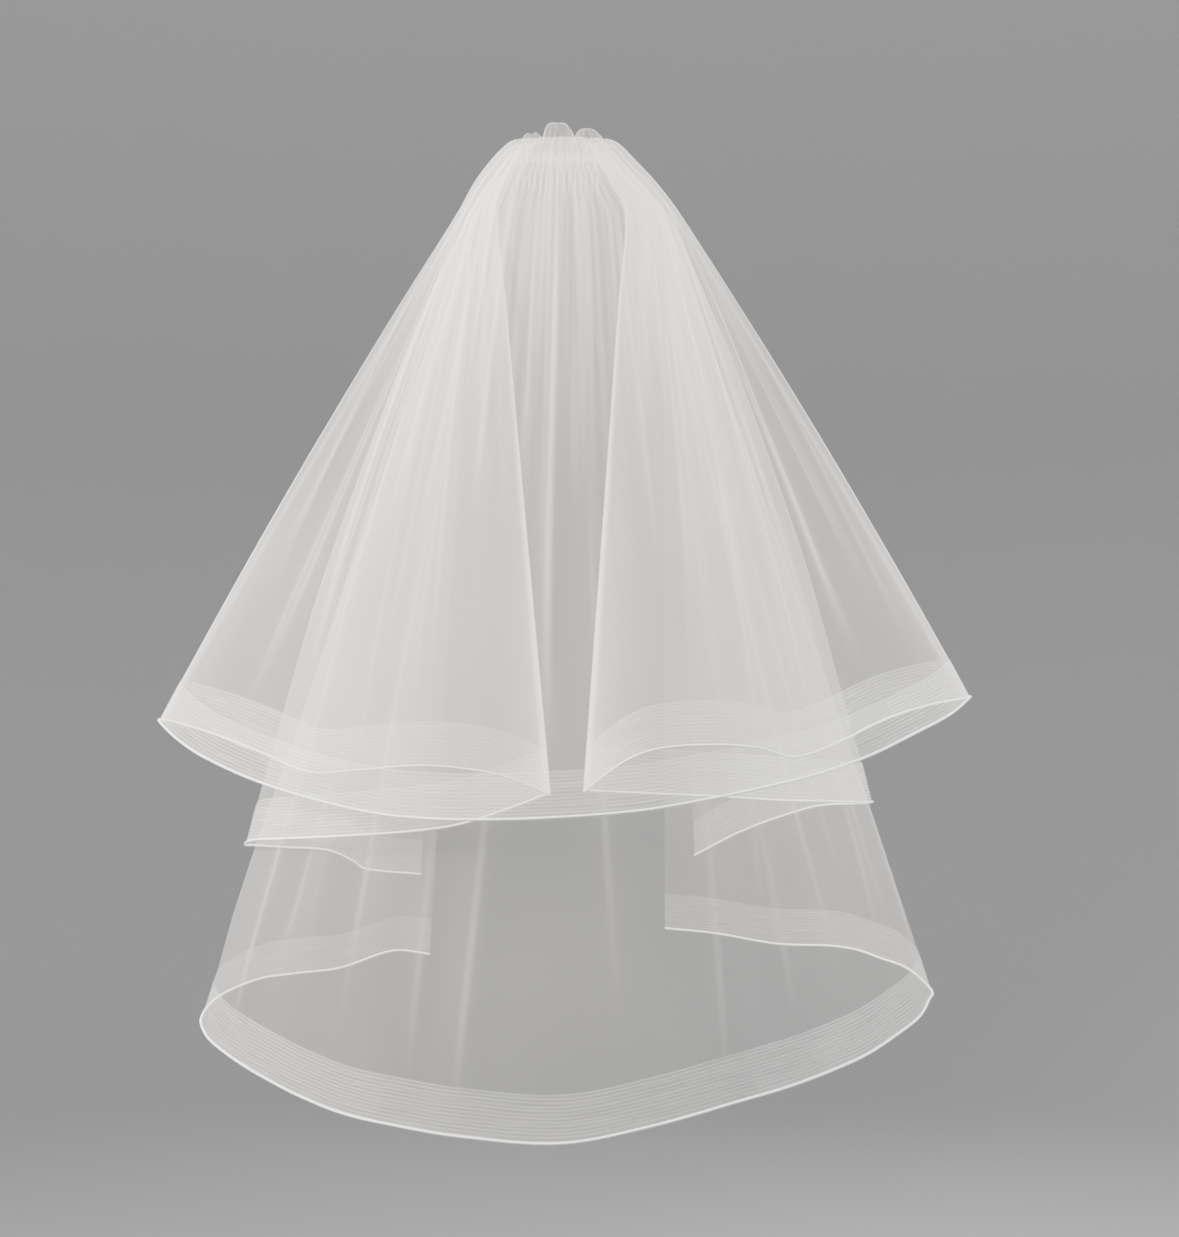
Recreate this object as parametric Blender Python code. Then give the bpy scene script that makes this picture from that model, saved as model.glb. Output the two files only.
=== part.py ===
"""Two-tier bridal veil hanging from a comb. Metres, +Z up, the wearer's back faces -Y.

The origin is the middle of the comb. Each stretch of tulle runs down straight lines from the
crown rings to its own hem table, and its wall is worked out from those sections.
"""

import math

import bpy

MM = 0.001
WALL = 1.0 * MM  # tulle
SEAM_GAP = 0.3 * MM
BRAID_WIDTH = 40.0 * MM
BRAID_THICK = 0.9 * MM
CORD_RISE = 1.3 * MM  # how far the corded edge stands off the braid
CORD_HALF = 1.6 * MM
LAYER_IN = 3.2 * MM  # each layer's crown rings are this much smaller than the layer outside it
LAYER_DOWN = 4.4 * MM  # and this much lower
HEM_EASE = 0.10  # share of a stretch over which folds die out towards its two ends

# Crown rings of the outermost layer, in mm. inset is the share of LAYER_IN that is used.
# columns: height, centre_x, half_width, half_depth, inset, gather_depth
CROWN_RINGS = (
    (13.0, 3.5, 40.0, 10.2, 0.0, 0.2),
    (16.5, 4.5, 46.5, 17.0, 0.3, 0.6),
    (12.5, 5.0, 54.0, 24.0, 0.7, 0.9),
    (-1.5, 5.0, 67.5, 34.0, 1.0, 1.1),
    (-23.0, 7.0, 85.5, 46.0, 1.0, 1.2),
    (-51.0, 10.0, 104.0, 57.0, 1.0, 1.3),
)
# Share of the way from the last crown ring to the top of the braid.
LOWER_ROWS = (0.18, 0.38, 0.60, 0.82, 1.0)

# Hems, in mm. crown_angle is where the ruling leaves the crown ring, in degrees, 270 at the back.
# columns: x, y, z, crown_angle
UPPER_BACK = (
    (-350, -130, -529, 183),
    (-328, -160, -543, 189),
    (-300, -190, -556, 195),
    (-241, -245, -574, 205),
    (-181, -285, -587, 217),
    (-137, -305, -594, 227),
    (-100, -320, -596, 237),
    (-67, -330, -596, 247),
    (-9, -340, -594, 262),
    (66, -335, -589, 283),
    (117, -320, -582, 300),
    (168, -295, -574, 315),
    (217, -265, -565, 328),
    (263, -235, -552, 338),
    (300, -205, -538, 345),
    (345, -155, -521, 353),
    (367, -125, -508, 357),
)
UPPER_LEFT_RETURN = (
    (-5, -225, -584, 228),
    (-44, -245, -567, 221),
    (-86, -250, -560, 214),
    (-116, -250, -559, 209),
    (-162, -240, -563, 203),
    (-205, -225, -566, 197),
    (-247, -195, -553, 192),
    (-298, -155, -538, 187),
    (-328, -136, -531, 185),
    (-348, -127, -527, 183),
)
UPPER_RIGHT_RETURN = (
    (365, -122, -508, 357),
    (333, -135, -513, 354),
    (297, -155, -522, 350),
    (271, -175, -531, 346),
    (251, -195, -539, 342),
    (202, -230, -553, 334),
    (172, -240, -545, 329),
    (138, -245, -542, 324),
    (88, -245, -545, 317),
    (59, -240, -556, 310),
    (27, -225, -581, 303),
)
UPPER_LEFT_SIDE = (
    (-149, 220, -709, 164),
    (-207, 210, -702, 167),
    (-217, 200, -693, 168),
    (-239, 170, -678, 170),
    (-276, 120, -669, 173),
    (-295, 50, -659, 176),
    (-296, 0, -653, 180),
    (-282, -50, -643, 186),
    (-245, -100, -636, 194),
    (-178, -158, -627, 205),
    (-111, -188, -619, 215),
    (-72, -198, -611, 220),
    (-5, -214, -586, 228),
)
UPPER_RIGHT_SIDE = (
    (27, -214, -583, 303),
    (90, -203, -587, 314),
    (149, -188, -591, 324),
    (196, -150, -597, 334),
    (256, -85, -604, 345),
    (283, -40, -609, 353),
    (298, 0, -612, 360),
    (296, 50, -618, 364),
    (268, 100, -624, 368),
    (246, 140, -633, 371),
    (189, 190, -660, 374),
    (141, 220, -689, 376),
)
LOWER = (
    (-139, 215, -793, 164),
    (-177, 213, -789, 166),
    (-230, 190, -803, 169),
    (-268, 160, -803, 171),
    (-302, 115, -801, 174),
    (-331, 55, -807, 177),
    (-336, -10, -815, 180),
    (-324, -50, -823, 185),
    (-306, -80, -829, 190),
    (-275, -120, -837, 198),
    (-246, -150, -844, 206),
    (-220, -170, -851, 213),
    (-182, -195, -859, 222),
    (-143, -215, -863, 232),
    (-78, -235, -869, 247),
    (6, -242, -873, 268),
    (80, -235, -861, 289),
    (158, -215, -844, 310),
    (200, -190, -838, 321),
    (237, -165, -831, 331),
    (276, -130, -823, 340),
    (310, -95, -811, 347),
    (333, -60, -804, 353),
    (348, -20, -797, 358),
    (357, 20, -794, 361),
    (340, 45, -779, 365),
    (317, 80, -774, 368),
    (297, 113, -771, 371),
    (273, 142, -772, 373),
    (224, 172, -775, 374.5),
    (161, 190, -767, 376),
    (109, 198, -763, 377),
)

# Soft folds, standing out from a stretch where depth is positive.
# columns: at (share along the stretch), half_width (share), depth (mm), start, end (share of drop)
FOLDS = {
    "upper back": (
        (0.10, 0.050, 3.0, 0.10, 0.70),
        (0.19, 0.045, 6.0, 0.12, 0.96),
        (0.30, 0.060, -4.0, 0.10, 0.80),
        (0.38, 0.050, 5.0, 0.08, 0.85),
        (0.50, 0.050, 7.0, 0.00, 1.00),
        (0.61, 0.055, -4.0, 0.05, 0.75),
        (0.70, 0.050, 5.0, 0.10, 0.90),
        (0.83, 0.050, 6.0, 0.15, 1.00),
        (0.92, 0.040, -3.0, 0.20, 0.80),
    ),
    "upper left return": (
        (0.28, 0.12, 5.0, 0.10, 0.90),
        (0.52, 0.11, -4.0, 0.10, 0.80),
        (0.76, 0.10, 4.0, 0.20, 0.95),
    ),
    "upper right return": (
        (0.24, 0.11, 4.0, 0.20, 0.95),
        (0.50, 0.12, -4.0, 0.10, 0.85),
        (0.74, 0.12, 5.0, 0.10, 0.90),
    ),
    "upper left side": (
        (0.14, 0.07, 4.0, 0.20, 1.00),
        (0.28, 0.07, 2.0, 0.20, 0.90),
        (0.44, 0.08, 4.0, 0.10, 0.85),
        (0.62, 0.07, 5.0, 0.10, 0.95),
        (0.80, 0.07, 3.5, 0.10, 0.90),
    ),
    "upper right side": (
        (0.20, 0.07, 4.0, 0.10, 0.90),
        (0.38, 0.08, 5.0, 0.10, 0.95),
        (0.55, 0.08, 4.0, 0.10, 0.85),
        (0.72, 0.07, 2.0, 0.20, 0.90),
        (0.86, 0.07, 4.0, 0.20, 1.00),
    ),
    "lower": (
        (0.08, 0.030, 3.0, 0.60, 1.00),
        (0.16, 0.035, -5.0, 0.30, 0.95),
        (0.26, 0.035, 4.0, 0.70, 1.00),
        (0.35, 0.040, -6.0, 0.30, 0.95),
        (0.44, 0.035, 5.0, 0.65, 1.00),
        (0.52, 0.040, -5.0, 0.30, 0.90),
        (0.59, 0.035, 4.0, 0.65, 1.00),
        (0.67, 0.035, -6.0, 0.30, 0.95),
        (0.76, 0.035, 5.0, 0.68, 1.00),
        (0.86, 0.035, -5.0, 0.30, 0.95),
        (0.93, 0.030, 3.0, 0.60, 1.00),
    ),
}

# push is how far the wearer's shoulders press the stretch out, in mm. first and last are the
# shares of its hem table that a stretch takes: the lower tier is one sheet in three stretches.
# columns: tier, stretch, hem table, folds, layer, gathers, push, first, last, columns across
STRETCHES = (
    ("upper", "back", UPPER_BACK, "upper back", 0, 10, 8.0, 0.0, 1.0, 52),
    ("upper", "left_return", UPPER_LEFT_RETURN, "upper left return", 1, 4, 4.0, 0.0, 1.0, 22),
    ("upper", "right_return", UPPER_RIGHT_RETURN, "upper right return", 1, 4, 4.0, 0.0, 1.0, 22),
    ("upper", "left_side", UPPER_LEFT_SIDE, "upper left side", 2, 6, 12.0, 0.0, 1.0, 36),
    ("upper", "right_side", UPPER_RIGHT_SIDE, "upper right side", 2, 6, 12.0, 0.0, 1.0, 36),
    ("lower", "left", LOWER, "lower", 3, 14, 3.0, 0.0, 0.21, 16),
    ("lower", "back", LOWER, "lower", 3, 14, 3.0, 0.21, 0.79, 42),
    ("lower", "right", LOWER, "lower", 3, 14, 3.0, 0.79, 1.0, 16),
)

HEADING_HALF = 34.5 * MM
HEADING_CENTRE_X = 3.5 * MM
HEADING_BOTTOM = -4.0 * MM
HEADING_TOP = 14.6 * MM
HEADING_GATHERS = 12

# Loops that stand over the stitching, in mm.
# columns: name, centre_x, half_width, half_depth, base, top
PUFFS = (
    ("puff_left", -25.0, 9.6, 7.0, 14.9, 25.0),
    ("puff_centre", 0.2, 14.6, 8.0, 14.9, 34.5),
    ("puff_right", 29.3, 13.4, 7.6, 14.9, 28.5),
)
PUFF_SIDES = 14
PUFF_ROWS = 4
PUFF_SQUARE = 0.5  # 1 would make a puff's side profile an ellipse, and 0 a box

COMB_TEETH = 15
COMB_PITCH = 5.4 * MM
COMB_TOOTH = 2.0 * MM
COMB_THICK = 1.4 * MM
# Side profile of the comb, from the bar's top edge to the tips, in mm.
# columns: y, z
COMB_PROFILE = (
    (0.0, -4.3),
    (0.0, -10.0),
    (-2.5, -18.0),
    (-8.0, -26.5),
    (-16.5, -34.0),
    (-25.0, -39.5),
)

# columns: name, red, green, blue, roughness, metallic
MATERIALS = (
    ("tulle", 0.86, 0.84, 0.80, 0.75, 0.0),
    ("braid", 0.93, 0.92, 0.89, 0.42, 0.0),
    ("comb_metal", 0.42, 0.40, 0.38, 0.35, 1.0),
)


def add(a, b):
    return tuple(p + q for p, q in zip(a, b))


def sub(a, b):
    return tuple(p - q for p, q in zip(a, b))


def scaled(a, k):
    return tuple(p * k for p in a)


def cross(a, b):
    return (
        a[1] * b[2] - a[2] * b[1],
        a[2] * b[0] - a[0] * b[2],
        a[0] * b[1] - a[1] * b[0],
    )


def unit(a):
    return scaled(a, 1.0 / max(math.sqrt(sum(p * p for p in a)), 1e-12))


def lerp(a, b, t):
    return tuple(p + (q - p) * t for p, q in zip(a, b))


def smooth(t):
    t = min(max(t, 0.0), 1.0)
    return t * t * (3.0 - 2.0 * t)


def along(table, share):
    """A row of the table at this share of its length, on a curve through the stations."""
    knots = [0.0]
    for a, b in zip(table, table[1:]):
        knots.append(knots[-1] + math.dist(a[:2], b[:2]))
    at = share * knots[-1]
    i = 0
    while i < len(table) - 2 and at > knots[i + 1]:
        i += 1
    t = (at - knots[i]) / (knots[i + 1] - knots[i])
    step = knots[i + 1] - knots[i]

    def slope(j):
        low, high = max(j - 1, 0), min(j + 1, len(table) - 1)
        return scaled(sub(table[high], table[low]), 1.0 / (knots[high] - knots[low]))

    h00 = 2 * t**3 - 3 * t**2 + 1
    h10 = t**3 - 2 * t**2 + t
    h01 = -2 * t**3 + 3 * t**2
    h11 = t**3 - t**2
    start, end = scaled(table[i], h00), scaled(table[i + 1], h01)
    leave, arrive = scaled(slope(i), h10 * step), scaled(slope(i + 1), h11 * step)
    return add(add(start, end), add(leave, arrive))


def crown_point(ring, angle, layer):
    height, centre_x, half_width, half_depth, inset, _ = ring
    shrink = layer * inset * LAYER_IN
    turn = math.radians(angle)
    return (
        centre_x * MM + (half_width * MM - shrink) * math.cos(turn),
        (half_depth * MM - shrink) * math.sin(turn),
        height * MM - layer * LAYER_DOWN,
    )


def arc_rate(ring, angle):
    """How far a degree reaches here, against the widest place on the ring: gathers crowd at its ends."""
    half_width, half_depth = ring[2:4]
    turn = math.radians(angle)
    return math.hypot(half_width * math.sin(turn), half_depth * math.cos(turn)) / half_width


def grid_normals(grid):
    """Unit normals of a grid of rows, pointing away from the wearer."""
    rows, cols = len(grid), len(grid[0])
    out = []
    for r in range(rows):
        line = []
        for c in range(cols):
            down = sub(grid[min(r + 1, rows - 1)][c], grid[max(r - 1, 0)][c])
            across = sub(grid[r][min(c + 1, cols - 1)], grid[r][max(c - 1, 0)])
            line.append(unit(cross(down, across)))
        out.append(line)
    return out


def ruled_grid(table, layer, push, shares):
    """Rows of points from the heading to the hem, before folds."""
    grid = []
    hem = [along(table, share) for share in shares]
    for ring in CROWN_RINGS:
        grid.append([crown_point(ring, row[3], layer) for row in hem])
    start = grid[-1]
    end = [scaled(row[:3], MM) for row in hem]
    tops = [1.0 - BRAID_WIDTH / math.dist(a, b) for a, b in zip(start, end)]
    for row in LOWER_ROWS:
        line = []
        for a, b, top in zip(start, end, tops):
            line.append(pushed(a, b, row * top, push))
        grid.append(line)
    grid.append(end)
    return grid


def pushed(a, b, share, push):
    """A point on the line from crown to hem, pressed out by the wearer's shoulders."""
    p = lerp(a, b, share)
    out = unit((b[0], b[1], 0.0))
    sideways = out[0] ** 2
    return add(p, scaled(out, push * MM * sideways * math.sin(math.pi * share) ** 0.8))


def fold_depth(folds, share, drop):
    total = 0.0
    for at, half_width, depth, start, end in folds:
        near = max(0.0, 1.0 - abs(share - at) / half_width)
        middle = (start + end) / 2
        reach = max(0.0, 1.0 - abs(drop - middle) / ((end - start) / 2))
        total += depth * smooth(near) * smooth(min(1.0, reach * 1.6))
    return total * MM


def draped_grid(table, folds, layer, gathers, push, shares):
    grid = ruled_grid(table, layer, push, shares)
    angles = [along(table, share)[3] for share in shares]
    first_angle, last_angle = table[0][3], table[-1][3]
    normals = grid_normals(grid)
    rows = len(grid)
    rings = len(CROWN_RINGS)
    out = []
    for r in range(rows):
        line = []
        for c, share in enumerate(shares):
            edge = smooth(min(share, 1.0 - share) / HEM_EASE)
            if r < rings:
                gather, drop = CROWN_RINGS[r][5] * MM, 0.0
            else:
                drop = (r - rings + 1) / (rows - rings)
                gather = CROWN_RINGS[-1][5] * MM * max(0.0, 1.0 - 1.6 * drop)
            turn = (angles[c] - first_angle) / (last_angle - first_angle)
            wave = math.sin(2 * math.pi * gathers * turn + 0.5 * math.sin(9 * turn + layer))
            gather *= arc_rate(CROWN_RINGS[min(r, rings - 1)], angles[c])
            move = edge * (gather * wave + fold_depth(folds, share, drop))
            line.append(add(grid[r][c], scaled(normals[r][c], move)))
        out.append(line)
    return out


def step_back(grid, end, beside):
    """Draws a grid's end column towards the one beside it, half a seam gap."""
    for row in grid:
        row[end] = add(row[end], scaled(unit(sub(row[beside], row[end])), SEAM_GAP / 2))


def shell(outer, inner):
    """Points and faces of the closed wall between two grids with the same columns."""
    cols = len(outer[0])
    points = [p for row in outer for p in row] + [p for row in inner for p in row]
    base = len(outer) * cols
    faces = []
    for r in range(len(outer) - 1):
        for c in range(cols - 1):
            a = r * cols + c
            faces.append((a, a + cols, a + cols + 1, a + 1))
    for r in range(len(inner) - 1):
        for c in range(cols - 1):
            a = base + r * cols + c
            faces.append((a, a + 1, a + cols + 1, a + cols))
    last_out = (len(outer) - 1) * cols
    last_in = base + (len(inner) - 1) * cols
    for c in range(cols - 1):
        faces.append((c, c + 1, base + c + 1, base + c))
        faces.append((last_out + c, last_in + c, last_in + c + 1, last_out + c + 1))
    down_out = [r * cols for r in range(len(outer))]
    down_in = [base + r * cols for r in range(len(inner))]
    faces.append(tuple(down_in + down_out[::-1]))
    faces.append(tuple([i + cols - 1 for i in down_out] + [i + cols - 1 for i in down_in[::-1]]))
    return points, faces


def strip_ends(outer_rows, inner_rows, cols, faces):
    """Replaces the two end faces by quads, where both sides have the same rows."""
    base = outer_rows * cols
    del faces[-2:]
    for r in range(outer_rows - 1):
        a, b = r * cols, base + r * cols
        faces.append((a, b, b + cols, a + cols))
        a, b = a + cols - 1, b + cols - 1
        faces.append((a, a + cols, b + cols, b))
    return faces


def offset(grid, normals, distance):
    return [
        [add(p, scaled(n, distance)) for p, n in zip(row, line)]
        for row, line in zip(grid, normals)
    ]


def panel_and_braid(tier, stretch, table, folds, layer, gathers, push, first, last, cols):
    # A column more past each seam gives both stretches the same normals there.
    before, after = int(first > 0.0), int(last < 1.0)
    step = (last - first) / (cols - 1)
    shares = [first + step * c for c in range(-before, cols + after)]
    grid = draped_grid(table, FOLDS[folds], layer, gathers, push, shares)
    kept = slice(before, before + cols)
    normals = [row[kept] for row in grid_normals(grid)]
    grid = [row[kept] for row in grid]
    if before:
        step_back(grid, 0, 1)
    if after:
        step_back(grid, -1, -2)
    points, faces = shell(
        offset(grid, normals, WALL / 2), offset(grid, normals, -WALL / 2)
    )
    faces = strip_ends(len(grid), len(grid), cols, faces)
    build(f"{tier}_tier_{stretch}", points, faces, "tulle")
    # The sheet turns over at each fold, so on the returns its right side faces the wearer.
    top, hem = grid[-2], grid[-1]
    top_normal, hem_normal = normals[-2], normals[-1]
    bottom = 1.0 - SEAM_GAP / BRAID_WIDTH
    near = WALL / 2 + SEAM_GAP
    far = near + BRAID_THICK
    # columns: share of the way down the braid, distance from the middle of the tulle
    face_rows = (
        (0.0, far),
        (1.0 - 2.2 * CORD_HALF / BRAID_WIDTH, far),
        (1.0 - 1.1 * CORD_HALF / BRAID_WIDTH, far + CORD_RISE),
        (bottom, far),
    )
    back_rows = ((0.0, near), (bottom, near))

    def rows(spec):
        made = []
        for share, distance in spec:
            line = []
            for a, b, p, q in zip(top, hem, top_normal, hem_normal):
                n = unit(lerp(p, q, share))
                line.append(add(lerp(a, b, share), scaled(n, distance)))
            made.append(line)
        return made

    points, faces = shell(rows(face_rows), rows(back_rows))
    build(f"{tier}_braid_{stretch}", points, faces, "braid")


def heading():
    """The tulle drawn up along the comb: a wall that doubles back and forth between rounded turns."""
    pitch = 2 * HEADING_HALF / (2 * HEADING_GATHERS)
    radius = pitch / 2
    # Each turn reaches to a seam gap from the sheets sewn round it.
    _, _, half_width, half_depth, _, _ = CROWN_RINGS[0]
    clear = WALL + SEAM_GAP + 0.1 * MM
    wide, deep = half_width * MM - clear, half_depth * MM - clear
    line = []
    for half in range(2 * HEADING_GATHERS):
        middle = HEADING_CENTRE_X - HEADING_HALF + pitch * (half + 0.5)
        reach = math.sqrt(1 - ((middle - HEADING_CENTRE_X) / wide) ** 2)
        sign = 1.0 if half % 2 else -1.0
        turn_y = sign * (deep * reach - radius)
        for step in range(5):
            angle = math.pi * (1 - step / 4)
            normal = (math.cos(angle), sign * math.sin(angle))
            point = (middle + radius * normal[0], turn_y + radius * normal[1])
            line.append((point, scaled(normal, sign)))
    grid_out, grid_in = [], []
    for z in (HEADING_TOP, HEADING_BOTTOM):
        outer, inner = [], []
        for (x, y), (nx, ny) in line:
            outer.append((x + nx * WALL / 2, y + ny * WALL / 2, z))
            inner.append((x - nx * WALL / 2, y - ny * WALL / 2, z))
        grid_out.append(outer)
        grid_in.append(inner)
    points, faces = shell(grid_out, grid_in)
    faces = strip_ends(2, 2, len(line), faces)
    build("gathered_heading", points, faces, "tulle")


def puff(name, centre_x, half_width, half_depth, base, top):
    """A loop of tulle over the stitching: a hollow dome, open below."""
    points, faces = [], []
    sizes = ((half_width, half_depth, top - base), (half_width - 1, half_depth - 1, top - base - 1))
    for a, b, rise in sizes:
        for row in range(PUFF_ROWS):
            lift = math.radians(90 * row / PUFF_ROWS)
            for side in range(PUFF_SIDES):
                turn = 2 * math.pi * side / PUFF_SIDES
                crimp = 1.0 + 0.05 * math.sin(4 * turn + centre_x) * math.cos(lift)
                wide = math.cos(lift) ** PUFF_SQUARE * crimp
                points.append((
                    (centre_x + a * wide * math.cos(turn)) * MM,
                    b * wide * math.sin(turn) * MM,
                    (base + rise * math.sin(lift)) * MM,
                ))
        points.append((centre_x * MM, 0.0, (base + rise) * MM))
    count = PUFF_ROWS * PUFF_SIDES + 1
    for shell_index, start in enumerate((0, count)):
        for row in range(PUFF_ROWS):
            for side in range(PUFF_SIDES):
                after = (side + 1) % PUFF_SIDES
                a, b = start + row * PUFF_SIDES + side, start + row * PUFF_SIDES + after
                if row < PUFF_ROWS - 1:
                    face = (a, b, b + PUFF_SIDES, a + PUFF_SIDES)
                else:
                    face = (a, b, start + count - 1)
                faces.append(face[::-1] if shell_index else face)
    for side in range(PUFF_SIDES):
        after = (side + 1) % PUFF_SIDES
        faces.append((side, count + side, count + after, after))
    build(name, points, faces, "tulle")


def comb():
    """One plate of bar and teeth, bent to follow the back of the crown."""
    edges = []
    first = -COMB_PITCH * (COMB_TEETH - 1) / 2
    for tooth in range(COMB_TEETH):
        middle = first + tooth * COMB_PITCH
        edges += [middle - COMB_TOOTH / 2, middle + COMB_TOOTH / 2]
    rows = len(COMB_PROFILE)
    cols = len(edges)
    normals = []
    for r in range(rows):
        low, high = COMB_PROFILE[max(r - 1, 0)], COMB_PROFILE[min(r + 1, rows - 1)]
        dy, dz = high[0] - low[0], high[1] - low[1]
        length = math.hypot(dy, dz)
        normals.append((dz / length, -dy / length))
    points = []
    for side in (1.0, -1.0):
        for r, (y, z) in enumerate(COMB_PROFILE):
            taper = 1.0 if r < 2 else 1.0 - 0.55 * (r - 1) / (rows - 2)
            half = side * COMB_THICK / 2 * (0.7 + 0.3 * taper)
            ny, nz = normals[r]
            for c, x in enumerate(edges):
                middle = (edges[c - c % 2] + edges[c - c % 2 + 1]) / 2
                points.append((middle + (x - middle) * taper, y * MM + ny * half, z * MM + nz * half))
    base = rows * cols

    def filled(r, c):
        return 0 <= r < rows - 1 and 0 <= c < cols - 1 and (r == 0 or c % 2 == 0)

    faces = []
    for r in range(rows - 1):
        for c in range(cols - 1):
            if not filled(r, c):
                continue
            a = r * cols + c
            b = a + base
            faces.append((a, a + cols, a + cols + 1, a + 1))
            faces.append((b, b + 1, b + cols + 1, b + cols))
            if not filled(r - 1, c):
                faces.append((a, a + 1, b + 1, b))
            if not filled(r + 1, c):
                faces.append((a + cols, b + cols, b + cols + 1, a + cols + 1))
            if not filled(r, c - 1):
                faces.append((a, b, b + cols, a + cols))
            if not filled(r, c + 1):
                faces.append((a + 1, a + cols + 1, b + cols + 1, b + 1))
    build("comb", points, faces, "comb_metal")


def volume(points, faces):
    total = 0.0
    for face in faces:
        for i in range(1, len(face) - 1):
            a, b, c = points[face[0]], points[face[i]], points[face[i + 1]]
            total += sum(p * q for p, q in zip(a, cross(b, c)))
    return total / 6


def build(name, points, faces, material):
    if volume(points, faces) < 0:
        faces = [face[::-1] for face in faces]
    mesh = bpy.data.meshes.new(name)
    mesh.from_pydata(points, [], faces)
    mesh.update()
    mesh.materials.append(bpy.data.materials[material])
    bpy.context.scene.collection.objects.link(bpy.data.objects.new(name, mesh))


def clear_scene():
    for obj in list(bpy.data.objects):
        bpy.data.objects.remove(obj)


def make_materials():
    for name, red, green, blue, roughness, metallic in MATERIALS:
        material = bpy.data.materials.new(name)
        material.use_nodes = True
        surface = material.node_tree.nodes["Principled BSDF"]
        surface.inputs["Base Color"].default_value = (red, green, blue, 1.0)
        surface.inputs["Roughness"].default_value = roughness
        surface.inputs["Metallic"].default_value = metallic


def main():
    clear_scene()
    make_materials()
    for row in STRETCHES:
        panel_and_braid(*row)
    heading()
    for row in PUFFS:
        puff(*row)
    comb()


main()
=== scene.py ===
"""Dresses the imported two-tier bridal veil: sheer tulle, horsehair braid, gathered heading, comb.

Laid out as an add-on, and run as a script. Metres, +Z up, and the veil's back faces -Y.
"""

import math
import random

import bmesh
import bpy
import numpy as np
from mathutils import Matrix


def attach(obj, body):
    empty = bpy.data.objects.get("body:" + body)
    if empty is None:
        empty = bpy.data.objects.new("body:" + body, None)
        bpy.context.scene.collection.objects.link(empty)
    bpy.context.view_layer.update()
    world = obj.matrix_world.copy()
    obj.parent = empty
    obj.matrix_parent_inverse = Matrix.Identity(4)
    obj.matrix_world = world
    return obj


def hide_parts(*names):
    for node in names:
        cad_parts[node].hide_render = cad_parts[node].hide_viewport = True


bl_info = {
    "name": "Two-tier bridal veil",
    "version": (1, 0, 0),
    "blender": (4, 5, 0),
    "location": "View3D > Sidebar > Veil",
    "description": "Drapes two tiers of tulle with braided hems from a comb",
    "category": "Object",
}

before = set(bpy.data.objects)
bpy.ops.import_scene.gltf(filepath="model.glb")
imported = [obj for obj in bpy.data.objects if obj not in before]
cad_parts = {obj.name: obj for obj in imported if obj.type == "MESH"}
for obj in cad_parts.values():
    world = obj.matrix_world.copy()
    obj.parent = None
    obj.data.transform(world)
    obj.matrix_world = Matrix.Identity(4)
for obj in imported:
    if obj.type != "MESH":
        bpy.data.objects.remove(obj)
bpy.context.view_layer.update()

MM = 0.001

# Steps from one layer of tulle to the next, counted from the outermost inwards.
LAYER_IN = 3.2 * MM
LAYER_DOWN = 4.4 * MM

# Grids: columns about 3 mm apart round the hem, so that the painted sheen along a crest stays a fine
# line.
UPPER_COLUMNS = 930
UPPER_ROWS = 88
LOWER_COLUMNS = 520
LOWER_ROWS = 104
BRAID_ROWS = 8

# Along a sheet, in mm. A width runs from the middle of a line to where it is a third as strong.
FOLD_RUN = 14.0  # length taken up by the turn at each deep fold
# width of the painted sheen along a deep fold
FOLD_WIDTH = 4.5
FOLD_SHEEN_REACH = 30.0  # width beside a deep fold, where two layers lie close, over which a fainter painted sheen fades
# width of the painted sheen along a crease's crest
CREST_WIDTH = 3.6
CREASE_SWAY = 4.0  # how far a crease wanders to either side on its way down
CALM_SHARE = 0.08  # share of a stretch, at each end, where creases and gathers die out

# Denser net, which makes the cloth look denser, from two causes: threads that come close together at
# gathers and the heading, and painted sheen along creases and deep folds.
CREST_SHEEN = 0.085  # painted sheen along a crease's crest, for each mm of its depth
CREASE_SHEEN = 0.012  # painted sheen across a whole crease, for each mm of its depth
GATHER_CROWDING = 0.22
# painted sheen along a deep fold, and a fainter painted sheen beside it
FOLD_SHEEN = 0.50
FOLD_SIDE_SHEEN = 0.14
HEADING_CROWDING = 0.50

GATHER_ENDS = (0.14, 0.18, 0.22, 0.28, 0.36, 0.5, 0.7)  # shares of the drop that gathers reach
BRAID_CLEAR = 0.7 * MM  # from the sheet out to the braid
BRAID_SHORT = 1.2 * MM  # from the sheet's edge up to the braid's

# Crown rings of the outermost layer, in mm, as in the solids.
# inset is the share of LAYER_IN that each layer steps in there.
# columns: height, centre_x, half_width, half_depth, inset
CROWN_RINGS = (
    (13.0, 3.5, 40.0, 10.2, 0.0),
    (16.5, 4.5, 46.5, 17.0, 0.3),
    (12.5, 5.0, 54.0, 24.0, 0.7),
    (-1.5, 5.0, 67.5, 34.0, 1.0),
    (-23.0, 7.0, 85.5, 46.0, 1.0),
    (-51.0, 10.0, 104.0, 57.0, 1.0),
)
DROP_SHARES = (0.18, 0.38, 0.60, 0.82)  # rows between the crown and the braid's upper edge

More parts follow.
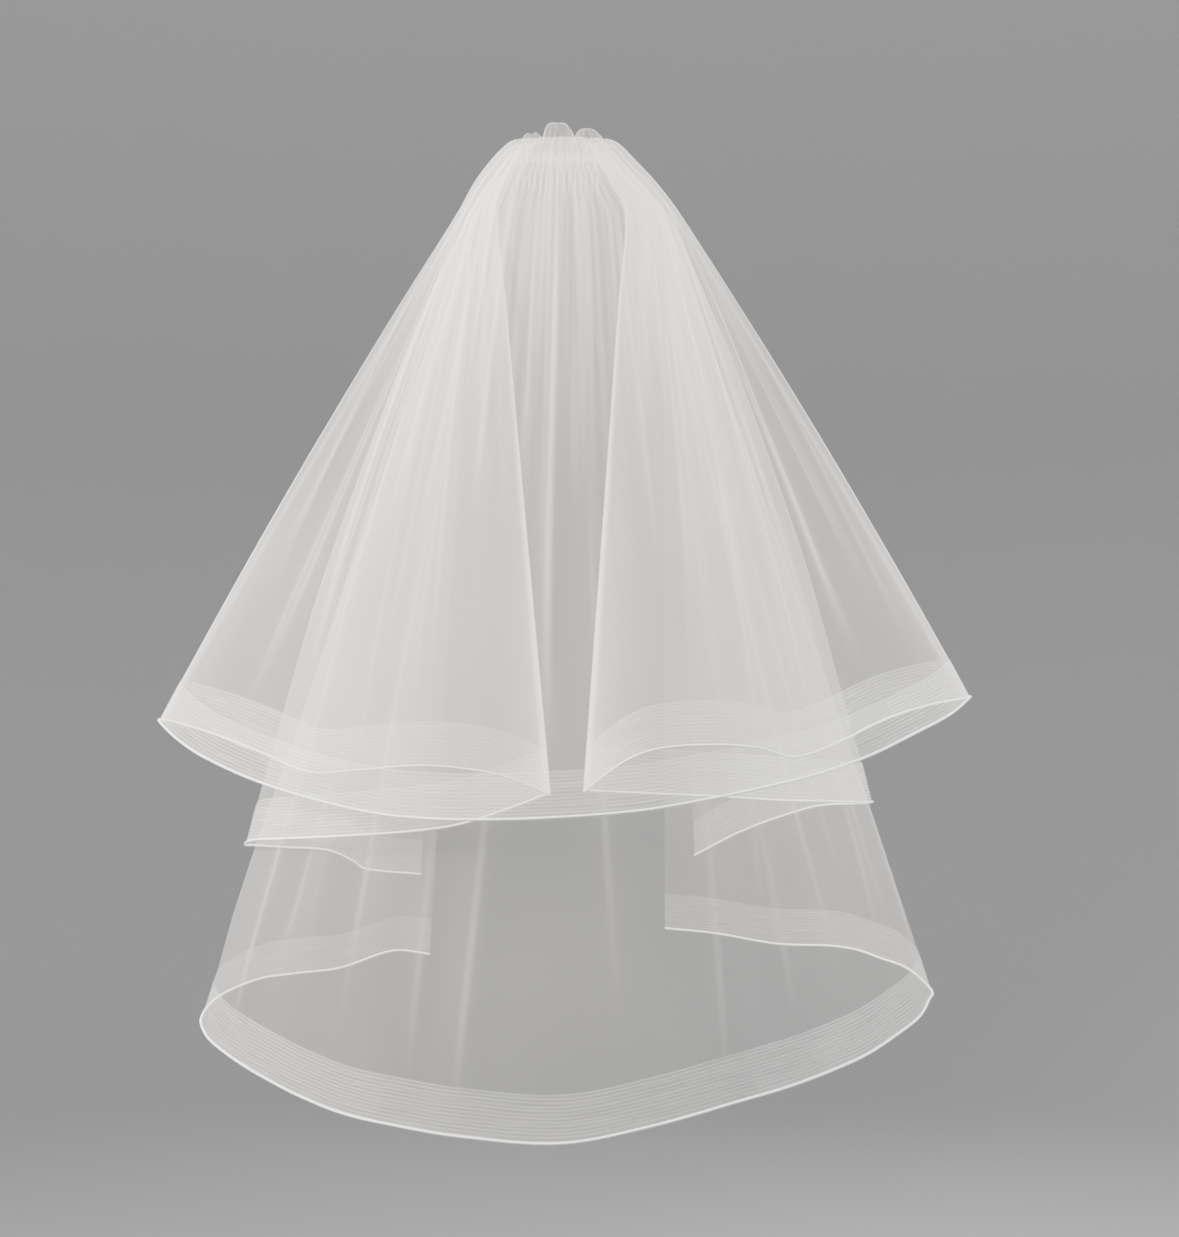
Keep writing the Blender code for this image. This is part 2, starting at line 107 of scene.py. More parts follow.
# Hems, in mm, with the angle in degrees at which each place meets the crown.
# Stretches follow one another along the sheet, and each turns back on the last.
# columns: x, y, z, crown_angle
UPPER_LEFT_SIDE = (
    (-149, 220, -709, 164),
    (-207, 210, -702, 167),
    (-217, 200, -693, 168),
    (-239, 170, -678, 170),
    (-276, 120, -669, 173),
    (-295, 50, -659, 176),
    (-296, 0, -653, 180),
    (-282, -50, -643, 186),
    (-245, -100, -636, 194),
    (-178, -158, -627, 205),
    (-111, -188, -619, 215),
    (-72, -198, -611, 220),
    (-5, -214, -586, 228),
)
UPPER_LEFT_RETURN = (
    (-5, -225, -584, 228),
    (-44, -245, -567, 221),
    (-86, -250, -560, 214),
    (-116, -250, -559, 209),
    (-162, -240, -563, 203),
    (-205, -225, -566, 197),
    (-247, -195, -553, 192),
    (-298, -155, -538, 187),
    (-328, -136, -531, 185),
    (-348, -127, -527, 183),
)
UPPER_BACK = (
    (-350, -130, -529, 183),
    (-328, -160, -543, 189),
    (-300, -190, -556, 195),
    (-241, -245, -574, 205),
    (-181, -285, -587, 217),
    (-137, -305, -594, 227),
    (-100, -320, -596, 237),
    (-67, -330, -596, 247),
    (-9, -340, -594, 262),
    (66, -335, -589, 283),
    (117, -320, -582, 300),
    (168, -295, -574, 315),
    (217, -265, -565, 328),
    (263, -235, -552, 338),
    (300, -205, -538, 345),
    (345, -155, -521, 353),
    (367, -125, -508, 357),
)
UPPER_RIGHT_RETURN = (
    (365, -122, -508, 357),
    (333, -135, -513, 354),
    (297, -155, -522, 350),
    (271, -175, -531, 346),
    (251, -195, -539, 342),
    (202, -230, -553, 334),
    (172, -240, -545, 329),
    (138, -245, -542, 324),
    (88, -245, -545, 317),
    (59, -240, -556, 310),
    (27, -225, -581, 303),
)
UPPER_RIGHT_SIDE = (
    (27, -214, -583, 303),
    (90, -203, -587, 314),
    (149, -188, -591, 324),
    (196, -150, -597, 334),
    (256, -85, -604, 345),
    (283, -40, -609, 353),
    (298, 0, -612, 360),
    (296, 50, -618, 364),
    (268, 100, -624, 368),
    (246, 140, -633, 371),
    (189, 190, -660, 374),
    (141, 220, -689, 376),
)
LOWER = (
    (-139, 215, -793, 164),
    (-177, 213, -789, 166),
    (-230, 190, -803, 169),
    (-268, 160, -803, 171),
    (-302, 115, -801, 174),
    (-331, 55, -807, 177),
    (-336, -10, -815, 180),
    (-324, -50, -823, 185),
    (-306, -80, -829, 190),
    (-275, -120, -837, 198),
    (-246, -150, -844, 206),
    (-220, -170, -851, 213),
    (-182, -195, -859, 222),
    (-143, -215, -863, 232),
    (-78, -235, -869, 247),
    (6, -242, -873, 268),
    (80, -235, -861, 289),
    (158, -215, -844, 310),
    (200, -190, -838, 321),
    (237, -165, -831, 331),
    (276, -130, -823, 340),
    (310, -95, -811, 347),
    (333, -60, -804, 353),
    (348, -20, -797, 358),
    (357, 20, -794, 361),
    (340, 45, -779, 365),
    (317, 80, -774, 368),
    (297, 113, -771, 371),
    (273, 142, -772, 373),
    (224, 172, -775, 374.5),
    (161, 190, -767, 376),
    (109, 198, -763, 377),
)

# layer counts inwards, and push is how far the stretch swells out to the side.
# columns: name, hem table, layer, push (mm)
UPPER_SHEET = (
    ("left_side", UPPER_LEFT_SIDE, 2, 12.0),
    ("left_return", UPPER_LEFT_RETURN, 1, 4.0),
    ("back", UPPER_BACK, 0, 8.0),
    ("right_return", UPPER_RIGHT_RETURN, 1, 4.0),
    ("right_side", UPPER_RIGHT_SIDE, 2, 12.0),
)
LOWER_SHEET = (("lower", LOWER, 3, 3.0),)

# The solids of each tier and of its braid, by stretch.
UPPER_STRETCHES = ("back", "left_return", "right_return", "left_side", "right_side")
LOWER_STRETCHES = ("left", "back", "right")

# Creases, listed one by one. at and lean are shares of the stretch, where the crease starts and how far
# it has moved by its end; depth stands out on the right side of the cloth.
# columns: at, lean, half_width (share), depth (mm), start, end (shares of the drop)
CREASES = {
    "back": (
        (0.075, 0.01, 0.018, 2.4, 0.10, 0.80),
        (0.135, -0.02, 0.016, 2.8, 0.30, 0.95),
        (0.195, 0.015, 0.022, 6.0, 0.16, 0.90),
        (0.245, -0.02, 0.018, -3.2, 0.12, 0.70),
        (0.300, 0.01, 0.026, -4.0, 0.06, 0.72),
        (0.345, 0.02, 0.016, 3.0, 0.08, 0.45),
        (0.385, -0.01, 0.020, 4.4, 0.04, 0.66),
        (0.440, 0.00, 0.024, -3.2, 0.05, 0.60),
        (0.487, 0.005, 0.015, 5.6, 0.02, 0.99),
        (0.520, -0.01, 0.016, -3.4, 0.06, 0.62),
        (0.560, 0.015, 0.018, 2.6, 0.05, 0.40),
        (0.610, 0.01, 0.026, -3.6, 0.05, 0.74),
        (0.655, -0.02, 0.016, 3.0, 0.10, 0.52),
        (0.705, 0.01, 0.020, 4.8, 0.12, 0.86),
        (0.748, 0.015, 0.014, -2.6, 0.20, 0.66),
        (0.800, 0.01, 0.016, 4.6, 0.30, 0.98),
        (0.845, -0.01, 0.020, 5.0, 0.16, 0.90),
        (0.905, 0.015, 0.018, -2.6, 0.22, 0.80),
        (0.950, 0.00, 0.012, 2.2, 0.30, 0.92),
    ),
    "left_return": (
        (0.16, 0.03, 0.05, 2.6, 0.10, 0.70),
        (0.30, -0.02, 0.06, 4.6, 0.12, 0.88),
        (0.47, 0.03, 0.05, -3.6, 0.10, 0.66),
        (0.62, -0.03, 0.045, 3.0, 0.22, 0.92),
        (0.78, 0.02, 0.05, 4.0, 0.25, 0.96),
        (0.90, 0.00, 0.03, -2.0, 0.30, 0.80),
    ),
    "right_return": (
        (0.10, 0.00, 0.03, -2.0, 0.30, 0.85),
        (0.23, -0.02, 0.05, 3.8, 0.25, 0.96),
        (0.40, 0.03, 0.045, -3.0, 0.12, 0.70),
        (0.54, 0.02, 0.05, 3.6, 0.10, 0.90),
        (0.72, -0.02, 0.06, 4.6, 0.12, 0.85),
        (0.86, 0.01, 0.04, -2.4, 0.08, 0.55),
    ),
    "left_side": (
        (0.07, 0.01, 0.022, 2.6, 0.30, 0.96),
        (0.14, -0.01, 0.030, 4.0, 0.25, 0.99),
        (0.27, 0.02, 0.030, 2.4, 0.20, 0.85),
        (0.36, -0.01, 0.022, -2.2, 0.15, 0.60),
        (0.45, 0.01, 0.032, 4.2, 0.10, 0.90),
        (0.54, 0.02, 0.022, -2.6, 0.20, 0.75),
        (0.63, -0.02, 0.028, 4.6, 0.12, 0.96),
        (0.73, 0.01, 0.020, -2.4, 0.25, 0.80),
        (0.81, -0.01, 0.026, 3.4, 0.12, 0.92),
        (0.91, 0.01, 0.020, 2.2, 0.10, 0.60),
    ),
    "right_side": (
        (0.08, 0.01, 0.020, 2.2, 0.10, 0.62),
        (0.19, -0.01, 0.028, 3.8, 0.10, 0.92),
        (0.28, 0.01, 0.020, -2.4, 0.20, 0.80),
        (0.38, 0.02, 0.030, 4.6, 0.10, 0.96),
        (0.47, -0.02, 0.022, -2.6, 0.25, 0.70),
        (0.56, 0.01, 0.030, 4.0, 0.12, 0.88),
        (0.65, 0.00, 0.022, -2.2, 0.20, 0.66),
        (0.74, 0.02, 0.028, 2.4, 0.20, 0.90),
        (0.86, -0.01, 0.030, 4.0, 0.25, 0.99),
        (0.94, 0.00, 0.020, 2.4, 0.35, 0.96),
    ),
    "lower": (
        (0.045, 0.00, 0.012, 2.4, 0.45, 0.98),
        (0.085, 0.01, 0.014, 2.8, 0.60, 1.00),
        (0.160, -0.01, 0.020, -4.4, 0.30, 0.94),
        (0.205, 0.01, 0.012, 2.4, 0.70, 0.96),
        (0.262, 0.01, 0.016, 4.4, 0.66, 1.00),
        (0.305, -0.015, 0.012, -2.8, 0.60, 0.92),
        (0.352, 0.01, 0.022, -5.4, 0.30, 0.95),
        (0.400, 0.01, 0.014, 3.0, 0.68, 0.97),
        (0.442, -0.01, 0.018, 4.8, 0.64, 1.00),
        (0.520, 0.01, 0.022, -4.6, 0.30, 0.92),
        (0.590, -0.01, 0.018, 4.0, 0.66, 1.00),
        (0.632, 0.01, 0.012, 2.8, 0.72, 0.95),
        (0.672, 0.01, 0.020, -5.2, 0.30, 0.95),
        (0.722, -0.01, 0.012, 3.0, 0.60, 0.93),
        (0.762, 0.01, 0.016, 4.8, 0.68, 1.00),
        (0.815, 0.01, 0.012, -3.0, 0.62, 0.96),
        (0.862, -0.01, 0.020, -4.4, 0.30, 0.95),
        (0.930, 0.01, 0.014, 2.8, 0.60, 1.00),
    ),
}

# Loops over the stitching, in mm.
# fall lowers the right end, or the left where negative, and dip sinks the middle, as shares.
# columns: centre_x, half_width, half_depth, base, top, crimps, fall, dip
LOOPS = (
    (-25.0, 9.6, 7.0, 14.9, 25.0, 5, -0.30, 0.26),
    (0.2, 14.6, 8.0, 14.9, 34.5, 7, 0.10, 0.05),
    (29.3, 13.4, 7.6, 14.9, 28.5, 6, 0.34, 0.0),
)
LOOP_SQUARE = 0.5  # 1 would make a loop's side profile an ellipse, and 0 a box
HEADING_CENTRE_X = 3.5 * MM
HEADING_HALF = 34.5 * MM
HEADING_BOTTOM = -4.0 * MM
HEADING_TOP = 14.6 * MM
HEADING_DEPTH = 8.3 * MM
HEADING_TAPER = 38.6 * MM  # from the middle to where the pleats would have no depth
HEADING_ROWS = 9
PLEAT_COLUMNS = 14
STITCH_HEIGHT = 0.45  # share of the heading's height at which the stitching pinches it
LOOP_DRAWN = 0.25  # how closely a loop's cloth is drawn up, where 1 is at the heading

COMB_TEETH = 15
COMB_PITCH = 5.4 * MM
# The thread's turns in each gap of the comb, in mm.
WRAP_SHIFTS = (-0.5, 0.1, 0.7)
WRAP_LEAN = 0.5
WRAP_HALF_DEPTH = 1.5
WRAP_HALF_HEIGHT = 5.9
WRAP_MIDDLE = -5.2
WRAP_POINTS = 14
WRAP_THREAD = 0.22

# The camera's place beside its distance, in metres.
CAMERA_X = 0.030
CAMERA_Z = -0.437
SENSOR_HEIGHT = 36.0
SKY_COLOUR = (0.95, 0.97, 1.0)
SKY_STRENGTH = 0.95

# columns: name, location, aimed at, size, watts, spread, casts shadows, colour
LIGHTS = (
    ("key", (-2.2, -0.8, 0.5), (0, -0.05, -0.45), 0.7, 28.0, 60, True, (1.0, 0.98, 0.95)),
    ("fill", (0.4, -2.7, 0.3), (0, 0, -0.5), 2.4, 10.0, 140, False, (0.97, 0.98, 1.0)),
    ("side_right", (2.2, -0.2, 0.3), (0, -0.05, -0.45), 0.7, 13.0, 60, False, (1.0, 1.0, 1.0)),
    ("back_left", (-1.7, 1.2, 0.3), (0, 0, -0.45), 0.8, 10.0, 70, False, (1.0, 1.0, 1.0)),
    ("front", (0.3, 2.6, 0.5), (0, 0, -0.5), 2.2, 12.0, 140, False, (1.0, 1.0, 1.0)),
    ("top", (0.0, -0.3, 1.5), (0, 0, -0.4), 0.9, 8.0, 70, False, (1.0, 1.0, 1.0)),
)


def ramp(low, high, x):
    t = np.clip((x - low) / (high - low), 0.0, 1.0)
    return t * t * (3 - 2 * t)


def curve_weights(knots, at):
    """Weights of the stations for each position, on a curve through them."""
    knots = np.asarray(knots, float)
    at = np.atleast_1d(np.asarray(at, float))
    count = len(knots)
    i = np.clip(np.searchsorted(knots, at, side="right") - 1, 0, count - 2)
    step = knots[i + 1] - knots[i]
    t = (at - knots[i]) / step
    weights = np.zeros((len(at), count))
    rows = np.arange(len(at))
    weights[rows, i] += 2 * t**3 - 3 * t**2 + 1
    weights[rows, i + 1] += -2 * t**3 + 3 * t**2
    for j, blend in ((i, t**3 - 2 * t**2 + t), (i + 1, t**3 - t**2)):
        low, high = np.maximum(j - 1, 0), np.minimum(j + 1, count - 1)
        slope = blend * step / (knots[high] - knots[low])
        np.add.at(weights, (rows, high), slope)
        np.add.at(weights, (rows, low), -slope)
    return weights


class Drape:
    """One sheet of tulle as it hangs: base surface, creases, gathers, and a denser net from crowded
    threads and painted sheen.
    """

    def __init__(self, sheet, columns, gathers, seed, crest, gather_share):
        sizes = bpy.context.scene.veil_sizes
        self.sheet = sheet
        # strength of the painted sheen along crease crests
        self.crest = crest
        self.crease_scale = sizes.crease_scale
        self.gather_depth = sizes.gather_depth * gather_share
        self.braid_width = sizes.braid_width
        self.lay_out()
        self.along = np.linspace(0, self.length, columns)
        self.gathers = self.plan_gathers(gathers, seed)
        self.guides = self.guide_rows()
        steps = np.linalg.norm(np.diff(self.guides, axis=0), axis=2).mean(axis=1)
        self.levels = np.concatenate([[0], np.cumsum(steps)])
        self.drop = self.levels[-1]

    def lay_out(self):
        """Joins the hem tables into one run, and notes where each stretch starts and ends."""
        self.stations = []
        self.knots = []
        self.spans = {}
        run = 0.0
        for name, table, layer, push in self.sheet:
            for row in table:
                if self.stations:
                    step = math.dist(row[:2], self.stations[-1][:2])
                    turned = layer != self.stations[-1][4]
                    run += max(step, FOLD_RUN) if turned else step
                if row is table[0]:
                    self.spans[name] = [run, run]
                self.stations.append((*row, layer, push))
                self.knots.append(run)
            self.spans[name][1] = run
        self.length = run

    def plan_gathers(self, count, seed):
        """Uneven pleats at the heading. columns: at, half_width (mm of hem), depth, end."""
        rng = random.Random(seed)
        pitch = self.length / count
        plan = []
        for i in range(count):
            plan.append((
                pitch * (i + 0.5 + rng.uniform(-0.28, 0.28)),
                pitch * rng.uniform(0.26, 0.40),
                (1 if i % 2 else -1) * rng.uniform(0.55, 1.0),
                rng.choice(GATHER_ENDS) * rng.uniform(0.85, 1.15),
            ))
        return plan

    def guide_rows(self):
        """Rows of points that the drop curves through: crown rings, shares of the drop, hem."""
        hung = curve_weights(self.knots, self.along) @ np.array(self.stations, float)
        x, y, z, angle, layer, push = hung.T
        turn = np.radians(angle)
        rows = []
        for height, centre_x, half_width, half_depth, inset in CROWN_RINGS:
            shrink = layer * inset * LAYER_IN
            rows.append(np.stack([
                centre_x * MM + (half_width * MM - shrink) * np.cos(turn),
                (half_depth * MM - shrink) * np.sin(turn),
                height * MM - layer * LAYER_DOWN,
            ], axis=1))
        crown = rows[-1]
        hem = np.stack([x, y, z], axis=1) * MM
        out = hem * (1, 1, 0)
        out /= np.maximum(np.linalg.norm(out, axis=1), 1e-9)[:, None]
        sideways = out[:, 0] ** 2
        braid_top = 1 - self.braid_width / np.linalg.norm(hem - crown, axis=1)
        for share in (*DROP_SHARES, 1.0):
            at = share * braid_top
            bulge = push * MM * sideways * np.sin(np.pi * at) ** 0.8
            rows.append(crown + (hem - crown) * at[:, None] + out * bulge[:, None])
        rows.append(hem)
        return np.array(rows)

    def base(self, down):
        """Points before creases: rows are shares of the drop, columns run along the sheet."""
        weights = curve_weights(self.levels, np.asarray(down) * self.drop)
        return np.einsum("rk,kcx->rcx", weights, self.guides)

    def drawn(self, down):
        """How closely the cloth is drawn up: 1 at the heading, dying out down the drop."""
        return (1 - ramp(0.02, 0.62, np.asarray(down))) ** 1.6

    @staticmethod
    def normals(points):
        across = np.gradient(points, axis=1)
        downward = np.gradient(points, axis=0)
        cross = np.cross(downward, across)
        return cross / np.maximum(np.linalg.norm(cross, axis=2), 1e-12)[..., None]

    def creases(self, a, d):
        """How far the listed creases stand out, and the painted sheen along and across them."""
        stand = np.zeros_like(a)
        crowding = np.zeros_like(a)
        for name in self.spans:
            start, end = self.spans[name]
            span = end - start
            for at, lean, half_width, depth, first, last in CREASES[name]:
                middle = start + (at + lean * (d - 0.5)) * span
                middle = middle + CREASE_SWAY * np.sin(5.5 * d + 40 * at)
                off = (a - middle) / (half_width * span)
                reach = ramp(first, first + 0.3 * (last - first), d)
                reach = reach * (1 - ramp(last - 0.35 * (last - first), last, d))
                stand += self.crease_scale * depth * MM * np.exp(-1.4 * off**2) * reach
                # Painted sheen: a fine, denser line along the crest, and a faint one across the whole
                # crease.
                line = CREST_SHEEN * np.exp(-(((a - middle) / CREST_WIDTH) ** 2))
                line += CREASE_SHEEN * np.exp(-3 * off**2)
                crowding += self.crest * line * abs(depth) * reach
        return stand, crowding

    def pleats(self, a, d):
        """How far the gathers under the heading stand out, and their crowding."""
        stand = np.zeros_like(a)
        crowding = np.zeros_like(a)
        opening = 0.10 + 0.9 * ramp(0.0, 1.15, d)
        for at, half_width, depth, end in self.gathers:
            off = (a - at) / half_width
            fade = 1 - ramp(end * 0.35, end, d)
            stand += self.gather_depth * depth * opening * np.exp(-1.5 * off**2) * fade
            crowding += GATHER_CROWDING * abs(depth) * np.exp(-9 * off**2) * fade
        return stand, crowding

    def calm(self, a):
        """1 over a stretch, and 0 at its ends, where it turns back or is cut."""
        share = np.ones_like(a)
        for start, end in self.spans.values():
            near = np.minimum(a - start, end - a) / (CALM_SHARE * (end - start))
            inside = (a >= start) & (a <= end)
            share = np.where(inside, np.minimum(share, ramp(0, 1, near)), share)
        return share

    def near_folds(self, a, width):
        """1 on a deep fold, dying out over this width on either side of it."""
        ends = [at for span in self.spans.values() for at in span]
        share = np.zeros_like(a)
        for at in ends[1:-1]:
            share = np.maximum(share, np.exp(-(((a - at) / width) ** 2)))
        return share

    def relief(self, down):
        """How far the cloth stands off its base, and how much denser the net is made: crowded threads,
        and painted sheen at creases and deep folds.
        """
        a, d = np.meshgrid(self.along, down)
        crease_stand, crease_crowding = self.creases(a, d)
        pleat_stand, pleat_crowding = self.pleats(a, d)
        # turned flattens the creases at a deep fold and paints sheen along it; beside paints a wider,
        # fainter sheen.
        turned = self.near_folds(a, FOLD_WIDTH)
        beside = self.near_folds(a, FOLD_SHEEN_REACH) * ramp(0.2, 1.0, d)
        stand = (crease_stand + pleat_stand) * self.calm(a) * (1 - turned)
        crowding = crease_crowding + pleat_crowding
        return stand, crowding + FOLD_SHEEN * turned + FOLD_SIDE_SHEEN * beside

    def surface(self, down):
        points = self.base(down)
        stand, crowding = self.relief(down)
        return points + self.normals(points) * stand[..., None], crowding

    def cloth_uv(self, down):
        """Places in the flat cloth, in metres."""
        return np.stack(np.meshgrid(self.along * MM, down * self.drop), axis=2)


def drop_positions(rows):
    """Shares of the drop, closer together at the crown."""
    step = np.linspace(0, 1, rows)
    return 0.35 * step + 0.65 * step**1.5


def smooth_piece(name, mesh):
    """A smooth-shaded object in the scene."""
    mesh.polygons.foreach_set("use_smooth", np.ones(len(mesh.polygons), bool))
    obj = bpy.data.objects.new(name, mesh)
    bpy.context.scene.collection.objects.link(obj)
    return obj


def add_share(mesh, label, values):
    """A value at every vertex, which the tulle's material reads."""
    mesh.attributes.new(label, "FLOAT", "POINT").data.foreach_set("value", values)


def grid_piece(name, points, uv, **shares):
    """A bmesh grid with its vertices moved to rows of points, its UVs in metres of cloth."""
    rows, cols = points.shape[:2]
    bm = bmesh.new()
    bmesh.ops.create_grid(bm, x_segments=cols - 1, y_segments=rows - 1, size=1, calc_uvs=True)
    mesh = bpy.data.meshes.new(name)
    bm.to_mesh(mesh)
    bm.free()
    at = np.empty(len(mesh.vertices) * 3)
    mesh.vertices.foreach_get("co", at)
    at = at.reshape(-1, 3)
    c = np.rint((at[:, 0] + 1) / 2 * (cols - 1)).astype(int)
    r = np.rint((1 - at[:, 1]) / 2 * (rows - 1)).astype(int)
    mesh.vertices.foreach_set("co", points[r, c].ravel())
    loops = np.empty(len(mesh.loops), int)
    mesh.loops.foreach_get("vertex_index", loops)
    layer = mesh.uv_layers[0] if mesh.uv_layers else mesh.uv_layers.new(name="UVMap")
    layer.data.foreach_set("uv", uv[r, c][loops].ravel())
    for label, values in shares.items():
        add_share(mesh, label, values[r, c])
    mesh.update()
    return smooth_piece(name, mesh)


def finish_piece(obj, material, slot, *nodes):
    obj.data.materials.clear()
    obj.data.materials.append(material)
    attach(obj, "root")
    if nodes:
        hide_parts(*nodes)
    return obj


class Nodes:
    """Short calls for building a material's node tree."""

    def __init__(self, name):
        self.material = bpy.data.materials.new(name)
        self.material.use_nodes = True
        self.tree = self.material.node_tree
        self.surface = self.tree.nodes["Principled BSDF"]

    def add(self, kind, **inputs):
        node = self.tree.nodes.new(kind)
        for name, value in inputs.items():
            self.put(node.inputs[name.replace("_", " ")], value)
        return node

    def put(self, socket, value):
        if isinstance(value, bpy.types.NodeSocket):
            self.tree.links.new(value, socket)
        else:
            socket.default_value = value

    def math(self, operation, a, b=0.0, clamp=False):
        node = self.tree.nodes.new("ShaderNodeMath")
        node.operation = operation
        node.use_clamp = clamp
        self.put(node.inputs[0], a)
        self.put(node.inputs[1], b)
        return node.outputs[0]

    def straight(self, value, start, gain, clamp=False):
        """start + gain * value."""
        return self.math("ADD", start, self.math("MULTIPLY", value, gain), clamp)

    def tint(self, dark, light, share):
        """A colour between two."""
        node = self.tree.nodes.new("ShaderNodeMix")
        node.data_type = "RGBA"
        node.inputs["A"].default_value = (*dark, 1)
        node.inputs["B"].default_value = (*light, 1)
        self.put(node.inputs["Factor"], share)
        return node.outputs["Result"]

    def place(self, kind):
        return self.add("ShaderNodeTexCoord").outputs[kind]

    def stretched(self, vector, scale):
        node = self.add("ShaderNodeMapping", Vector=vector)
        node.inputs["Scale"].default_value = scale
        return node.outputs["Vector"]

    def attribute(self, label):
        node = self.add("ShaderNodeAttribute")
        node.attribute_name = label
        return node.outputs["Fac"]

    def noise(self, vector, scale, detail=1.0, dimensions="2D"):
        node = self.add("ShaderNodeTexNoise", Vector=vector, Scale=scale, Detail=detail)
        node.noise_dimensions = dimensions
        return node.outputs["Fac"]

    def wave(self, u, v, turn, pitch):
        """A ripple across the cloth, turned by this many degrees."""
        share = math.radians(turn)
        across = self.math("MULTIPLY", u, 2 * math.pi * math.cos(share) / pitch)
        down = self.math("MULTIPLY", v, 2 * math.pi * math.sin(share) / pitch)
        return self.math("COSINE", self.math("ADD", across, down))

    def set(self, **inputs):
        for name, value in inputs.items():
            self.put(self.surface.inputs[name.replace("_", " ")], value)


def shade(colour, share):
    return [min(1.0, c * share) for c in colour]


def tulle_material(colours, sizes):
    """Fine hexagonal net: mostly holes, and denser where its threads crowd or it is drawn up, and where
    sheen is painted along creases, folds and loop crests.
    """
    n = Nodes("soft_tulle")
    uv = n.place("UV")
    split = n.add("ShaderNodeSeparateXYZ", Vector=uv)
    u, v = split.outputs["X"], split.outputs["Y"]
    ripples = [n.wave(u, v, turn, sizes.net_pitch) for turn in (0, 60, 120)]
    holes = n.math("ADD", n.math("ADD", ripples[0], ripples[1]), ripples[2])
    yarn = n.math("LESS_THAN", holes, 0.4)
    cloud = n.noise(uv, 9.0)
    streak = n.math("POWER", n.noise(n.stretched(uv, (95, 2.2, 1)), 1.0, 2.0), 2.0)
    pleat = n.math("MULTIPLY", n.math("MULTIPLY", streak, n.attribute("drawn")), 0.7)
    layer = n.math("MULTIPLY", n.straight(cloud, start=0.86, gain=0.28), colours.opacity)
    woven = n.math("MULTIPLY", layer, n.straight(yarn, start=0.55, gain=0.66))
    # The attribute holds crowded threads and painted sheen; pleat adds streaks where the cloth is drawn
    # up.
    crowded_and_sheen = n.math("ADD", n.math("MULTIPLY", n.attribute("crowding"), 0.55), pleat)
    alpha = n.math("ADD", woven, crowded_and_sheen, clamp=True)
    colour = n.tint(colours.tulle, shade(colours.tulle, 1.04), cloud)
    n.set(Base_Color=colour, Roughness=0.78, Alpha=alpha)
    n.surface.inputs["Specular IOR Level"].default_value = 0.0
    return n.material


def braid_material(colours, sizes):
    """Horsehair braid: fine ribs run along it, and it is closer woven than the tulle."""
    n = Nodes("horsehair_braid")
    uv = n.place("UV")
    across = n.add("ShaderNodeSeparateXYZ", Vector=uv).outputs["Y"]
    drift = n.math("MULTIPLY", n.noise(uv, 22.0), 0.0012)
    turns = n.math("MULTIPLY", n.math("ADD", across, drift), 2 * math.pi / sizes.rib_pitch)
    ribs = n.straight(n.math("SINE", turns), start=0.5, gain=0.5)
    streak = n.noise(n.stretched(uv, (18, 900, 1)), 1.0, 2.0)
    hairs = n.math("MULTIPLY", n.math("POWER", streak, 2.0), 0.30)
    alpha = n.math("ADD", n.straight(ribs, start=0.02, gain=0.15), hairs, clamp=True)
    bump = n.add("ShaderNodeBump", Strength=0.35, Distance=0.0004, Height=ribs)
    colour = n.tint(shade(colours.braid, 0.93), colours.braid, streak)
    n.set(Base_Color=colour, Roughness=0.42, Alpha=alpha, Normal=bump.outputs[0])
    n.set(Sheen_Weight=0.3, Sheen_Roughness=0.3)
    return n.material


def thread_material(colours):
    """Twisted sewing thread or cord."""
    n = Nodes("white_thread")
    twist = n.noise(n.place("Object"), 1800.0, 1.0, "3D")
    bump = n.add("ShaderNodeBump", Strength=0.4, Distance=0.0002, Height=twist)
    colour = n.tint(shade(colours.thread, 0.9), colours.thread, twist)
    n.set(Base_Color=colour, Roughness=0.5, Normal=bump.outputs[0])
    n.set(Sheen_Weight=0.3)
    return n.material


def comb_material(colours):
    """Drawn metal, dulled, with faint marks."""
    n = Nodes("dull_metal")
    marks = n.noise(n.place("Object"), 420.0, 4.0, "3D")
    rough = n.straight(marks, start=0.46, gain=0.22)
    colour = n.tint(shade(colours.comb, 0.8), colours.comb, marks)
    n.set(Base_Color=colour, Roughness=rough, Metallic=1.0)
    return n.material


class VeilSizes(bpy.types.PropertyGroup):
    braid_width: bpy.props.FloatProperty(
        name="Braid width", description="Width of the horsehair braid on both hems",
        default=0.040, min=0.01, max=0.08, unit="LENGTH")
    cord_radius: bpy.props.FloatProperty(
        name="Cord radius", description="Radius of the corded lower edge of the braid",
        default=0.0011, min=0.0003, max=0.002, unit="LENGTH")
    net_pitch: bpy.props.FloatProperty(
        name="Net pitch", description="Distance from hole to hole of the net",
        default=0.0014, min=0.0008, max=0.004, unit="LENGTH")
    rib_pitch: bpy.props.FloatProperty(
        name="Rib pitch", description="Distance from rib to rib of the braid",
        default=0.0031, min=0.0015, max=0.006, unit="LENGTH")
    gather_depth: bpy.props.FloatProperty(
        name="Gather depth", description="Depth of a gather where the sheet is at full width",
        default=0.007, min=0.0, max=0.02, unit="LENGTH")
    crease_scale: bpy.props.FloatProperty(
        name="Crease depth", description="Share of the listed depth that creases take",
        default=1.0, min=0.0, max=2.0, subtype="FACTOR")
    heading_gathers: bpy.props.IntProperty(
        name="Heading gathers", description="Gathers drawn up along the comb", default=26, min=8, max=60)


